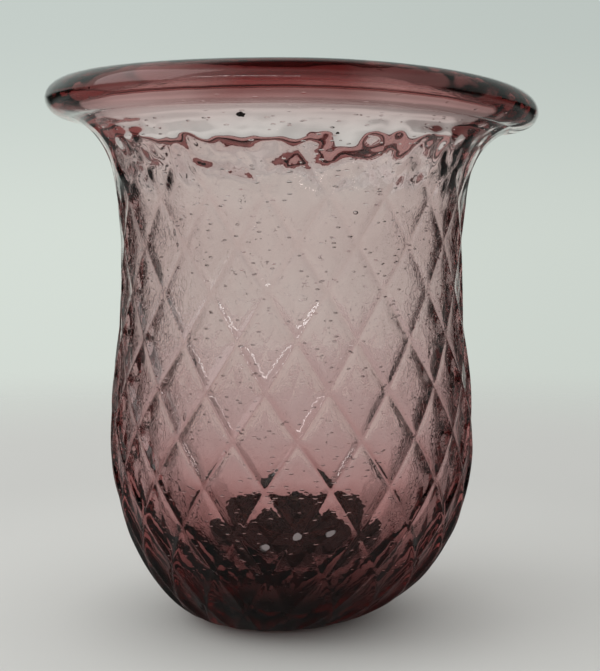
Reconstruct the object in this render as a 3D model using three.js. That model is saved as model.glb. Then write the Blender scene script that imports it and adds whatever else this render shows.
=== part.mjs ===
// Fairy lamp: a mould-blown glass cup with quilted diamonds, and the floating wick that burns in it.
// Units are millimetres, +Z is up, and the origin is on the axis of the cup, at the height that it stands on.

import * as THREE from 'three';

// Outside of the cup.
const CUP_HEIGHT = 93;
const BASE_FLAT_RADIUS = 9;
const BELLY_RADIUS = 31.6;
const BELLY_HEIGHT = 31.5;
const WAIST_RADIUS = 29.5;
const WAIST_HEIGHT = 61.5;
const RIM_RADIUS = 42;

// The rim is folded back on itself, so its section is a thick oval roll.
const ROLL_HALF_WIDTH = 4.4;
const ROLL_HALF_HEIGHT = 3.3;

// Inside of the cup. Its belly and waist lie a little higher than the outside's.
const WAIST_WALL = 1.9;
const BELLY_WALL = 2.8;
const BASE_THICKNESS = 7;
const INNER_FLAT_RADIUS = 5;
const INSIDE_RISE = 1.5;

// The shallow dimple left in the base where the cup was held on the iron.
const DIMPLE_RADIUS = 5;
const DIMPLE_DEPTH = 0.9;

// How far the handles of the free curves reach, as a share of the curve's rise or spread.
const BELLY_TO_WAIST_HANDLE = 0.42;
const NECK_RISE_HANDLE = 0.76;
const NECK_END_SPREAD = 0.57;
const NECK_END_DROP = 0.08;
const MOUTH_START_SPREAD = 0.36;
const MOUTH_START_DROP = 0.12;
const MOUTH_RISE_HANDLE = 0.64;

// Quilted diamonds: panels sunk between narrow ribs, which are highest at the belly, lower at the back and
// end in the neck.
const DIAMONDS_AROUND = 20;
const DIAMOND_HEIGHT = 15.05;
const DIAMOND_TURN = THREE.MathUtils.degToRad(2);
const CROSSING_HEIGHT = 35.5;
const RIB_HEIGHT = 0.8;
const PANEL_DEPTH = 0.1;
const RELIEF_START = 3;
const RELIEF_FULL = 25;
const RELIEF_LOW = 70;
const RELIEF_LOW_SHARE = 0.35;
const RELIEF_END = 84;
const RELIEF_BACK_SHARE = 0.4;
const RELIEF_BACK_FULL = 0.7;

// The last diamonds before the base are drawn out taller.
const DRAWN_OUT = 0.5;
const DRAWN_LENGTH = 30;

// Hand work: the base sits off the axis to the left, and the rim droops to the right.
const BASE_SHIFT = 3.5;
const BASE_SHIFT_FADE = 5.4;
const RIM_TILT = 0.23;
const RIM_DROOP = 2.05;
const DROOP_START = 66;
const DROOP_FULL = 90;

// The floating wick: cork, tinplate above and below it, tube and cotton.
const CORK_RADIUS = 15;
const CORK_THICKNESS = 4.6;
const CORK_BEVEL = 0.7;
const PLATE_RADIUS = 12;
const WASHER_RADIUS = 6.5;
const TIN_THICKNESS = 0.5;
const TUBE_RADIUS = 2.4;
const TUBE_WALL = 0.45;
const TUBE_RISE = 3;
const FLANGE_RADIUS = 4.4;
const LIP_RADIUS = 3.4;
const WICK_RADIUS = 1.65;
const WICK_PROUD = 1.5;
const WICK_TAIL = 0.9;
const WICK_TIP = 1;

// Gaps between neighbours: round the tube, and where the float rests in the bowl.
const TUBE_GAP = 0.25;
const REST_GAP = 0.3;

// Fineness of the faces.
const STEPS_PER_DIAMOND = 4;
const CURVE_STEPS = 4;
const INSIDE_STEPS = 6;
const WALL_SAMPLES = 600;
const ROUND_STEPS = 40;
const WICK_STEPS = 20;

const QUARTER = Math.PI / 2;
const ROLL_CENTRE_RADIUS = RIM_RADIUS - ROLL_HALF_WIDTH;
const ROLL_CENTRE_HEIGHT = CUP_HEIGHT - ROLL_HALF_HEIGHT;
const ROLL_UNDERSIDE = ROLL_CENTRE_HEIGHT - ROLL_HALF_HEIGHT;

const glass = new THREE.MeshStandardMaterial({
  color: 0x6e3a48,
  roughness: 0.05,
  metalness: 0,
  transparent: true,
  opacity: 0.5,
});
const cork = new THREE.MeshStandardMaterial({ color: 0x5a4030, roughness: 0.9, metalness: 0 });
const tinplate = new THREE.MeshStandardMaterial({ color: 0x77736c, roughness: 0.45, metalness: 1 });
const cotton = new THREE.MeshStandardMaterial({ color: 0x4a4038, roughness: 1, metalness: 0 });

// The dimple, from its middle out to the edge of the ring that the cup stands on.
function dimpleProfile() {
  const dimple = new THREE.Path();
  dimple.absellipse(0, 0, DIMPLE_RADIUS, DIMPLE_DEPTH, QUARTER, 0, true);
  return dimple.getPoints(CURVE_STEPS / 2);
}

// The outside wall, as radius and height, from the edge of the standing ring up to the underside of the rim.
function outerWall() {
  const wall = new THREE.Path();
  const spread = BELLY_RADIUS - BASE_FLAT_RADIUS;
  wall.absellipse(BASE_FLAT_RADIUS, BELLY_HEIGHT, spread, BELLY_HEIGHT, -QUARTER, 0, false);
  const handle = (WAIST_HEIGHT - BELLY_HEIGHT) * BELLY_TO_WAIST_HANDLE;
  wall.bezierCurveTo(
    BELLY_RADIUS, BELLY_HEIGHT + handle,
    WAIST_RADIUS, WAIST_HEIGHT - handle,
    WAIST_RADIUS, WAIST_HEIGHT,
  );
  const rise = ROLL_UNDERSIDE - WAIST_HEIGHT;
  wall.bezierCurveTo(
    WAIST_RADIUS, WAIST_HEIGHT + rise * NECK_RISE_HANDLE,
    ROLL_CENTRE_RADIUS - (ROLL_CENTRE_RADIUS - WAIST_RADIUS) * NECK_END_SPREAD,
    ROLL_UNDERSIDE - rise * NECK_END_DROP,
    ROLL_CENTRE_RADIUS, ROLL_UNDERSIDE,
  );
  return wall;
}

// The rim roll, from its underside round the outer edge to its top.
function rollProfile() {
  const roll = new THREE.Path();
  roll.absellipse(
    ROLL_CENTRE_RADIUS, ROLL_CENTRE_HEIGHT,
    ROLL_HALF_WIDTH, ROLL_HALF_HEIGHT,
    -QUARTER, QUARTER, false,
  );
  return roll.getPoints(CURVE_STEPS);
}

// The inside, from the top of the rim down the mouth, waist and bowl to the middle of the inner flat.
function innerProfile() {
  const wall = new THREE.Path();
  const waist = WAIST_RADIUS - WAIST_WALL;
  const belly = BELLY_RADIUS - BELLY_WALL;
  const waistHeight = WAIST_HEIGHT + INSIDE_RISE;
  const bellyHeight = BELLY_HEIGHT + INSIDE_RISE;
  const spread = ROLL_CENTRE_RADIUS - waist;
  const rise = CUP_HEIGHT - waistHeight;
  wall.moveTo(ROLL_CENTRE_RADIUS, CUP_HEIGHT);
  wall.bezierCurveTo(
    ROLL_CENTRE_RADIUS - spread * MOUTH_START_SPREAD, CUP_HEIGHT - rise * MOUTH_START_DROP,
    waist, waistHeight + rise * MOUTH_RISE_HANDLE,
    waist, waistHeight,
  );
  const handle = (waistHeight - bellyHeight) * BELLY_TO_WAIST_HANDLE;
  wall.bezierCurveTo(
    waist, waistHeight - handle,
    belly, bellyHeight + handle,
    belly, bellyHeight,
  );
  wall.absellipse(
    INNER_FLAT_RADIUS, bellyHeight,
    belly - INNER_FLAT_RADIUS, bellyHeight - BASE_THICKNESS,
    0, -QUARTER, true,
  );
  wall.lineTo(0, BASE_THICKNESS);
  return wall.getPoints(INSIDE_STEPS);
}

// The height at which the bowl is this wide inside.
function bowlHeightAt(radius) {
  const profile = innerProfile();
  const outside = profile.findLastIndex((point) => point.x >= radius);
  const [a, b] = profile.slice(outside, outside + 2);
  return THREE.MathUtils.mapLinear(radius, a.x, b.x, a.y, b.y);
}

// How many diamonds up the wall a place lies, counted from the base.
function diamondsUp(along) {
  const share = Math.min(1, along / DRAWN_LENGTH);
  const drawn = DRAWN_OUT * share + (1 - DRAWN_OUT) * (share ** 3 - share ** 4 / 2);
  return (DRAWN_LENGTH * drawn + Math.max(0, along - DRAWN_LENGTH)) / DIAMOND_HEIGHT;
}

// The outside wall cut into the quilting's rows, each with its point, its outward direction and its row number.
function quiltedRows() {
  const wall = outerWall();
  const length = wall.getLength();
  const points = wall.getSpacedPoints(WALL_SAMPLES);
  const levels = points.map((_, index) => diamondsUp((index / WALL_SAMPLES) * length) * STEPS_PER_DIAMOND);
  const crossing = levels[points.findIndex((point) => point.y > CROSSING_HEIGHT)];
  const shift = Math.ceil(crossing / STEPS_PER_DIAMOND) * STEPS_PER_DIAMOND - crossing;
  const rows = levels.map((level) => level + shift);
  const marks = [rows[0]];
  for (let row = Math.floor(rows[0]) + 1; row < rows.at(-1); row++) marks.push(row);
  marks.push(rows.at(-1));
  return marks.map((row) => {
    const above = Math.max(1, rows.findIndex((level) => level >= row));
    const [a, b] = points.slice(above - 1, above + 1);
    const share = (row - rows[above - 1]) / (rows[above] - rows[above - 1]);
    const along = b.clone().sub(a).normalize();
    return { row, point: a.clone().lerp(b, share), outward: new THREE.Vector2(along.y, -along.x) };
  });
}

// The share of the full relief at a height on the outside, and at a turn from the front.
function reliefShare(height, turn) {
  const { smoothstep } = THREE.MathUtils;
  const fall = 1 - (1 - RELIEF_LOW_SHARE) * smoothstep(height, RELIEF_FULL, RELIEF_LOW);
  const back = 1 - (1 - RELIEF_BACK_SHARE) * smoothstep(-Math.cos(turn), 0, RELIEF_BACK_FULL);
  const ends = smoothstep(height, 0, RELIEF_START) * (1 - smoothstep(height, RELIEF_LOW, RELIEF_END));
  return fall * back * ends;
}

// How far the outside lies under the tops of the ribs at a place in the quilting.
function panelDepth(across, up) {
  const rising = Math.sin(Math.PI * (across + up));
  const falling = Math.sin(Math.PI * (across - up));
  const share = Math.abs(rising * falling);
  return share < 0.01 ? 0 : RIB_HEIGHT + PANEL_DEPTH * share ** 2;
}

// Triangles of the turned wall. Each square is split along the rib that crosses it, so the ribs stay sharp.
function quiltedFaces(columns, points, dimplePoints, firstRow) {
  const faces = [];
  const lastRow = points - 2;
  for (let column = 0; column < columns; column++) {
    for (let row = 0; row <= lastRow; row++) {
      const a = column * points + row;
      const b = a + points;
      const c = b + 1;
      const d = a + 1;
      const ribRises = (column + row - dimplePoints + firstRow) % 2 === 0;
      const lower = ribRises ? [a, b, c] : [a, b, d];
      const upper = ribRises ? [c, d, a] : [c, d, b];
      if (row > 0) faces.push(...lower);
      if (row < lastRow) faces.push(...upper);
    }
  }
  return faces;
}

// Moves the base off the axis and lets the rim droop.
function handWorked(position, isOutside) {
  for (let vertex = 0; vertex < position.count; vertex++) {
    const height = position.getY(vertex);
    const right = position.getX(vertex) / RIM_RADIUS;
    const droop = RIM_TILT * (1 + right) + RIM_DROOP * Math.max(0, right) ** 2;
    const shift = isOutside(vertex) ? BASE_SHIFT * Math.exp(-height / BASE_SHIFT_FADE) : 0;
    position.setX(vertex, position.getX(vertex) - shift);
    position.setY(vertex, height - droop * THREE.MathUtils.smoothstep(height, DROOP_START, DROOP_FULL));
  }
}

// The glass cup: one turned wall, with the diamonds pressed into its outside.
function glassCup() {
  const rows = quiltedRows();
  const dimple = dimpleProfile();
  const outside = rows.map(({ point }) => point);
  const profile = [...dimple, ...outside, ...rollProfile().slice(1), ...innerProfile().slice(1)];
  const columns = DIAMONDS_AROUND * STEPS_PER_DIAMOND;
  const geometry = new THREE.LatheGeometry(profile, columns, DIAMOND_TURN);
  const position = geometry.getAttribute('position');
  for (let column = 0; column <= columns; column++) {
    const across = column / STEPS_PER_DIAMOND;
    const turn = DIAMOND_TURN + (column / columns) * 2 * Math.PI;
    rows.forEach(({ row, point, outward }, index) => {
      const depth = reliefShare(point.y, turn) * panelDepth(across, row / STEPS_PER_DIAMOND);
      const pull = 1 - (depth * outward.x) / point.x;
      const vertex = column * profile.length + dimple.length + index;
      position.setX(vertex, position.getX(vertex) * pull);
      position.setY(vertex, position.getY(vertex) - depth * outward.y);
      position.setZ(vertex, position.getZ(vertex) * pull);
    });
  }
  handWorked(position, (vertex) => vertex % profile.length < dimple.length + outside.length);
  geometry.setIndex(quiltedFaces(columns, profile.length, dimple.length, Math.floor(rows[0].row)));
  geometry.rotateX(QUARTER);
  geometry.computeVertexNormals();
  return geometry;
}

// A turned ring or tube, from the corners of its closed section as radius and height.
function turned(corners) {
  const section = corners.map(([radius, height]) => new THREE.Vector2(radius, height));
  section.push(section[0].clone());
  return new THREE.LatheGeometry(section, ROUND_STEPS).rotateX(QUARTER);
}

// The float comes to rest on its edge or on the end of its wick, whichever meets the bowl first.
const EDGE_REST = bowlHeightAt(CORK_RADIUS + REST_GAP);
const WICK_REST = BASE_THICKNESS + REST_GAP + WICK_TAIL + 2 * TIN_THICKNESS;
const CORK_BOTTOM = Math.max(EDGE_REST, WICK_REST);
const CORK_TOP = CORK_BOTTOM + CORK_THICKNESS;
const PLATE_TOP = CORK_TOP + TIN_THICKNESS;
const TUBE_TOP = PLATE_TOP + TUBE_RISE;
const WASHER_BOTTOM = CORK_BOTTOM - TIN_THICKNESS;
const TUBE_BOTTOM = WASHER_BOTTOM - TIN_THICKNESS;
const HOLE_RADIUS = TUBE_RADIUS + TUBE_GAP;

// The cork disc, bevelled at both edges, with a hole for the tube.
function corkFloat() {
  return turned([
    [HOLE_RADIUS, CORK_BOTTOM],
    [CORK_RADIUS - CORK_BEVEL, CORK_BOTTOM],
    [CORK_RADIUS, CORK_BOTTOM + CORK_BEVEL],
    [CORK_RADIUS, CORK_TOP - CORK_BEVEL],
    [CORK_RADIUS - CORK_BEVEL, CORK_TOP],
    [HOLE_RADIUS, CORK_TOP],
  ]);
}

// A flat tinplate disc with a hole for the tube.
function tinDisc(radius, bottom) {
  return turned([
    [HOLE_RADIUS, bottom],
    [radius, bottom],
    [radius, bottom + TIN_THICKNESS],
    [HOLE_RADIUS, bottom + TIN_THICKNESS],
  ]);
}

// The wick tube. Its flange lies on the plate, and its lip is spread under the washer.
function wickTube() {
  const bore = TUBE_RADIUS - TUBE_WALL;
  return turned([
    [bore, TUBE_BOTTOM],
    [LIP_RADIUS, TUBE_BOTTOM],
    [LIP_RADIUS, WASHER_BOTTOM],
    [TUBE_RADIUS, WASHER_BOTTOM],
    [TUBE_RADIUS, PLATE_TOP],
    [FLANGE_RADIUS, PLATE_TOP],
    [FLANGE_RADIUS, PLATE_TOP + TIN_THICKNESS],
    [TUBE_RADIUS, PLATE_TOP + TIN_THICKNESS],
    [TUBE_RADIUS, TUBE_TOP],
    [bore, TUBE_TOP],
  ]);
}

// The round wick, with a domed tip where it burns.
function roundWick() {
  const tip = new THREE.Path();
  const top = TUBE_TOP + WICK_PROUD;
  tip.moveTo(0, TUBE_BOTTOM - WICK_TAIL);
  tip.lineTo(WICK_RADIUS, TUBE_BOTTOM - WICK_TAIL);
  tip.lineTo(WICK_RADIUS, top - WICK_TIP);
  tip.absellipse(0, top - WICK_TIP, WICK_RADIUS, WICK_TIP, 0, QUARTER, false);
  return new THREE.LatheGeometry(tip.getPoints(CURVE_STEPS / 2), WICK_STEPS).rotateX(QUARTER);
}

function named(name, geometry, material) {
  const mesh = new THREE.Mesh(geometry, material);
  mesh.name = name;
  return mesh;
}

const fairyLamp = new THREE.Group();
fairyLamp.add(
  named('glass_cup', glassCup(), glass),
  named('cork_float', corkFloat(), cork),
  named('float_plate', tinDisc(PLATE_RADIUS, CORK_TOP), tinplate),
  named('float_washer', tinDisc(WASHER_RADIUS, WASHER_BOTTOM), tinplate),
  named('wick_tube', wickTube(), tinplate),
  named('wick', roundWick(), cotton),
);

export default fairyLamp;
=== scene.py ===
"""A mould-blown amethyst fairy lamp and the floating wick that burns in it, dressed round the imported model.

Lengths are in metres, with MM for sizes that read better in millimetres. +Z is up, and the camera looks
along +Y. A profile is a list of points that hold a radius and a height.
"""

import logging
import math
from bisect import bisect
from dataclasses import dataclass
from enum import Enum, IntEnum
from functools import reduce
from itertools import repeat
from random import Random
from typing import Iterable, Sequence

import bmesh
import bpy
from bmesh.types import BMesh, BMVert
from bpy.types import Material, Node, NodeSocket, Object, World
from mathutils import Matrix, Vector, geometry, noise
from mathutils.bvhtree import BVHTree


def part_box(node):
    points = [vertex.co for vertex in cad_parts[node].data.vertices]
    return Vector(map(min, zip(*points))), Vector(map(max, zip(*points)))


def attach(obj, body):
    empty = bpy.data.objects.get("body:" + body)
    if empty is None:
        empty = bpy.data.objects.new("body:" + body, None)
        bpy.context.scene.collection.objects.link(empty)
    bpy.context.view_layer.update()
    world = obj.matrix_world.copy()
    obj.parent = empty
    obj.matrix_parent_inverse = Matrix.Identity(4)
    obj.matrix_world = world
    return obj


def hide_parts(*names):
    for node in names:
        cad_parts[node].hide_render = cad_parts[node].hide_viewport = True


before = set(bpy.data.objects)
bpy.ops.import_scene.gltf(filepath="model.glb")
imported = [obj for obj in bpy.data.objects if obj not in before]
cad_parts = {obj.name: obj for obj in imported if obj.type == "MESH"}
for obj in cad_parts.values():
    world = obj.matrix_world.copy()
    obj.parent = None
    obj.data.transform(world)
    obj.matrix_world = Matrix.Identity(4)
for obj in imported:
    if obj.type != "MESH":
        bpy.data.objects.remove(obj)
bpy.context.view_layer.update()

MM = 0.001
LOG = logging.getLogger("fairy_lamp")

# A Band says where a change starts and ends. A Ramp also holds the value before the change and after it.
Colour = tuple[float, float, float]
Band = tuple[float, float]
Ramp = tuple[float, float, float, float]


class Body(Enum):
    """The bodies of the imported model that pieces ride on."""

    GLASS = "glass"
    BURNER = "burner"
    WICK = "wick"


class Slot(Enum):
    """The record's material slots."""

    GLASS = "amethyst_glass"
    CORK = "cork"
    TIN = "tinplate"
    COTTON = "cotton"


class Wall(IntEnum):
    """The stretches of the cup's section, in the order in which the profile runs."""

    DIMPLE = 0
    OUTSIDE = 1
    ROLL = 2
    INSIDE = 3


def smooth(low: float, high: float, value: float) -> float:
    """Rises softly from 0 at low to 1 at high."""
    share = min(1.0, max(0.0, (value - low) / (high - low)))
    return share * share * (3 - 2 * share)


def at(radius: float, height: float) -> Vector:
    """A point or a size in a profile."""
    return Vector((radius, height))


def between(low: float, high: float, share: float) -> float:
    """The number at a share of the way from low to high."""
    return low + (high - low) * share


def oval(centre: Vector, half: Vector, start: float, end: float, steps: int) -> list[Vector]:
    """Points along an arc of an upright oval.

    Args:
        centre: Radius and height of the oval's middle.
        half: Half its width and half its height.
        start: The first angle in degrees, from outwards towards up.
        end: The last angle in degrees.
        steps: How many stretches the arc has.

    Returns:
        The points from start to end, both included.
    """
    angles = [math.radians(start + (end - start) * step / steps) for step in range(steps + 1)]
    return [centre + at(half.x * math.cos(a), half.y * math.sin(a)) for a in angles]


def blend_curve(start: Vector, leave: Vector, arrive: Vector, end: Vector, steps: int) -> list[Vector]:
    """Points along a free curve that leaves start towards leave and comes to end from arrive.

    Args:
        start: The first point.
        leave: The handle at the first point.
        arrive: The handle at the last point.
        end: The last point.
        steps: How many stretches the curve has.

    Returns:
        The points from start to end, both included.
    """
    return [Vector(p) for p in geometry.interpolate_bezier(start, leave, arrive, end, steps + 1)]


def joined(*stretches: Sequence[Vector]) -> list[Vector]:
    """Strings lines together.

    Args:
        stretches: The lines, each of which starts where the last one ended or further on.

    Returns:
        One line, with each shared end point kept once.
    """
    line: list[Vector] = []
    for stretch in stretches:
        line += [p for p in stretch if not line or (p - line[-1]).length > 1e-9]
    return line


def evenly(line: Sequence[Vector], count: int) -> list[Vector]:
    """The line walked in equal steps.

    Args:
        line: The points of the line.
        count: How many steps to take.

    Returns:
        count + 1 points, the first and last of which are the line's own ends.
    """
    lengths = [(b - a).length for a, b in zip(line, line[1:])]
    total = sum(lengths)
    points, walked, index = [line[0].copy()], 0.0, 0
    for step in range(1, count):
        target = total * step / count
        while walked + lengths[index] < target:
            walked += lengths[index]
            index += 1
        points.append(line[index].lerp(line[index + 1], (target - walked) / lengths[index]))
    return points + [line[-1].copy()]


def lathe(bm: BMesh, section: Sequence[BMVert], steps: int) -> None:
    """Turns a line of vertices once round the Z axis into a skin without gaps.

    Args:
        bm: The mesh that holds the vertices.
        section: The vertices from one end of the section to the other.
        steps: How many faces go round.
    """
    edges = [bm.edges.new(pair) for pair in zip(section, section[1:])]
    bmesh.ops.spin(
        bm,
        geom=[*section, *edges],
        cent=(0, 0, 0),
        axis=(0, 0, 1),
        angle=math.tau,
        steps=steps,
        use_merge=True,
        use_duplicate=False,
    )
    bmesh.ops.remove_doubles(bm, verts=bm.verts, dist=1e-7)


def turned(profile: Sequence[Vector], steps: int) -> BMesh:
    """A solid turned from a profile.

    Args:
        profile: Its section, which starts and ends on the axis, or ends where it starts.
        steps: How many faces go round.

    Returns:
        The solid, with its faces pointing out.
    """
    bm = bmesh.new()
    lathe(bm, [bm.verts.new((p.x, 0, p.y)) for p in profile], steps)
    bmesh.ops.recalc_face_normals(bm, faces=bm.faces)
    return bm


def finished(bm: BMesh, name: str, material: Material, body: Body, slot: Slot, *nodes: str) -> Object:
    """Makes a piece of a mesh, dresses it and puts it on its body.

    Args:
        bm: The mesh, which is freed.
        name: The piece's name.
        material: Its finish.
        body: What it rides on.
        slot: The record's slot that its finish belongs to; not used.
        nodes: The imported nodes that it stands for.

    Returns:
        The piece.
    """
    mesh = bpy.data.meshes.new(name)
    for face in bm.faces:
        face.smooth = True
    bm.to_mesh(mesh)
    bm.free()
    mesh.materials.append(material)
    piece = bpy.data.objects.new(name, mesh)
    bpy.context.scene.collection.objects.link(piece)
    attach(piece, body.value)
    if nodes:
        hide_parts(*nodes)
    LOG.info("%s: %d faces on %s", name, len(mesh.polygons), body.value)
    return piece


class NodeBench:
    """A node tree, with short calls for what the finishes and the daylight here are mixed from."""

    def __init__(self, owner: Material | World, output: str, place: str) -> None:
        """Empties the owner's node tree.

        Args:
            owner: The material or world that holds the tree.
            output: The kind of its last node.
            place: The texture coordinate that places are read from.
        """
        owner.use_nodes = True
        self.tree = owner.node_tree
        self.tree.nodes.clear()
        self.output = self.node(output)
        self.place = self.node("TexCoord").outputs[place]

    def node(self, kind: str, **settings: object) -> Node:
        """Adds a shader node and sets its properties.

        Args:
            kind: The node's type, without its ShaderNode prefix.
            settings: Properties of the node by name.

        Returns:
            The node.
        """
        made = self.tree.nodes.new("ShaderNode" + kind)
        for key, value in settings.items():
            setattr(made, key, value)
        return made

    def feed(self, made: Node, **inputs: object) -> Node:
        """Links or sets a node's inputs, whose names have underscores for spaces.

        Args:
            made: The node.
            inputs: For each input, a socket to link or a value to set.

        Returns:
            The node.
        """
        for key, value in inputs.items():
            self.put(made.inputs[key.replace("_", " ")], value)
        return made

    def put(self, socket: NodeSocket, value: object) -> None:
        """Links a socket to another, or sets its value."""
        if isinstance(value, NodeSocket):
            self.tree.links.new(value, socket)
        else:
            socket.default_value = value

    def axes(self) -> Sequence[NodeSocket]:
        """The X, Y and Z of the place."""
        return self.feed(self.node("SeparateXYZ"), Vector=self.place).outputs

    def stretched(self, scale: Vector) -> NodeSocket:
        """The place on the piece, stretched along its axes."""
        mapping = self.feed(self.node("Mapping"), Vector=self.place, Scale=scale)
        return mapping.outputs["Vector"]

    def grain(
        self, scale: float, detail: float = 2, rough: float = 0.5, place: NodeSocket | None = None
    ) -> NodeSocket:
        """A soft noise from 0 to 1.

        Args:
            scale: How many bumps go to a metre.
            detail: How many finer layers it has.
            rough: How strong the finer layers are.
            place: Where to read it, if not at the plain place on the piece.

        Returns:
            The noise's value.
        """
        made = self.node("TexNoise")
        self.feed(made, Vector=place or self.place, Scale=scale, Detail=detail, Roughness=rough)
        return made.outputs["Fac"]

    def ramp(
        self, value: NodeSocket, low: float, high: float, start: float = 0, end: float = 1
    ) -> NodeSocket:
        """Maps a value smoothly.

        Args:
            value: The value.
            low: Where the change starts.
            high: Where it ends.
            start: The result at low.
            end: The result at high.

        Returns:
            The result.
        """
        made = self.node("MapRange", interpolation_type="SMOOTHSTEP")
        self.feed(made, Value=value, From_Min=low, From_Max=high, To_Min=start, To_Max=end)
        return made.outputs["Result"]

    def math(self, operation: str, a: NodeSocket | float, b: NodeSocket | float = 0) -> NodeSocket:
        """Works out one sum.

        Args:
            operation: What to do, such as ADD.
            a: The first value.
            b: The second value.

        Returns:
            The result.
        """
        made = self.node("Math", operation=operation)
        for socket, value in zip(made.inputs, (a, b)):
            self.put(socket, value)
        return made.outputs[0]

    def product(self, *values: NodeSocket | float) -> NodeSocket:
        """The values multiplied."""
        return reduce(lambda a, b: self.math("MULTIPLY", a, b), values)

    def most(self, *values: NodeSocket | float) -> NodeSocket:
        """The highest of the values."""
        return reduce(lambda a, b: self.math("MAXIMUM", a, b), values)

    def blend(self, share: NodeSocket, low: Colour | NodeSocket, high: Colour | NodeSocket) -> NodeSocket:
        """Mixes two colours.

        Args:
            share: How much of the second colour to take.
            low: The colour at a share of 0.
            high: The colour at a share of 1.

        Returns:
            The mixed colour.
        """
        made = self.node("Mix", data_type="RGBA")
        colours = [colour if isinstance(colour, NodeSocket) else (*colour, 1) for colour in (low, high)]
        for socket, value in zip((made.inputs[0], *made.inputs[6:8]), (share, *colours)):
            self.put(socket, value)
        return made.outputs[2]

    def dimmed(self, colour: NodeSocket, share: NodeSocket) -> NodeSocket:
        """The colour times the share."""
        return self.feed(self.node("VectorMath", operation="SCALE"), Vector=colour, Scale=share).outputs[0]

    def ray(self, kind: str) -> NodeSocket:
        """1 for a ray of this kind, such as Is Camera Ray, and 0 for any other."""
        return self.node("LightPath").outputs[kind]

    def mirrored(self) -> NodeSocket:
        """1 for a ray that a surface has mirrored. Rays that glass has bent count as glossy too."""
        return self.math("SUBTRACT", self.ray("Is Glossy Ray"), self.ray("Is Transmission Ray"))


class Bench(NodeBench):
    """The node tree of a material."""

    def __init__(self, name: str) -> None:
        """Starts an empty material.

        Args:
            name: The material's name.
        """
        self.material = bpy.data.materials.new(name)
        super().__init__(self.material, "OutputMaterial", "Object")

    def bump(self, height: NodeSocket, depth: float, under: NodeSocket | None = None) -> NodeSocket:
        """A normal bent by a height map.

        Args:
            height: The height, from 0 to 1.
            depth: What a height of 1 stands for.
            under: A normal to bend further, if there is one.

        Returns:
            The bent normal.
        """
        made = self.feed(self.node("Bump"), Height=height, Distance=depth, Strength=1.0)
        if under is not None:
            self.tree.links.new(under, made.inputs["Normal"])
        return made.outputs["Normal"]

    def surface(self, **inputs: object) -> Material:
        """Ends the material in one Principled shader with these inputs.

        Args:
            inputs: For each input, a socket to link or a value to set.

        Returns:
            The finished material.
        """
        shader = self.feed(self.node("BsdfPrincipled"), **inputs)
        self.tree.links.new(shader.outputs[0], self.output.inputs["Surface"])
        return self.material


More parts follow.
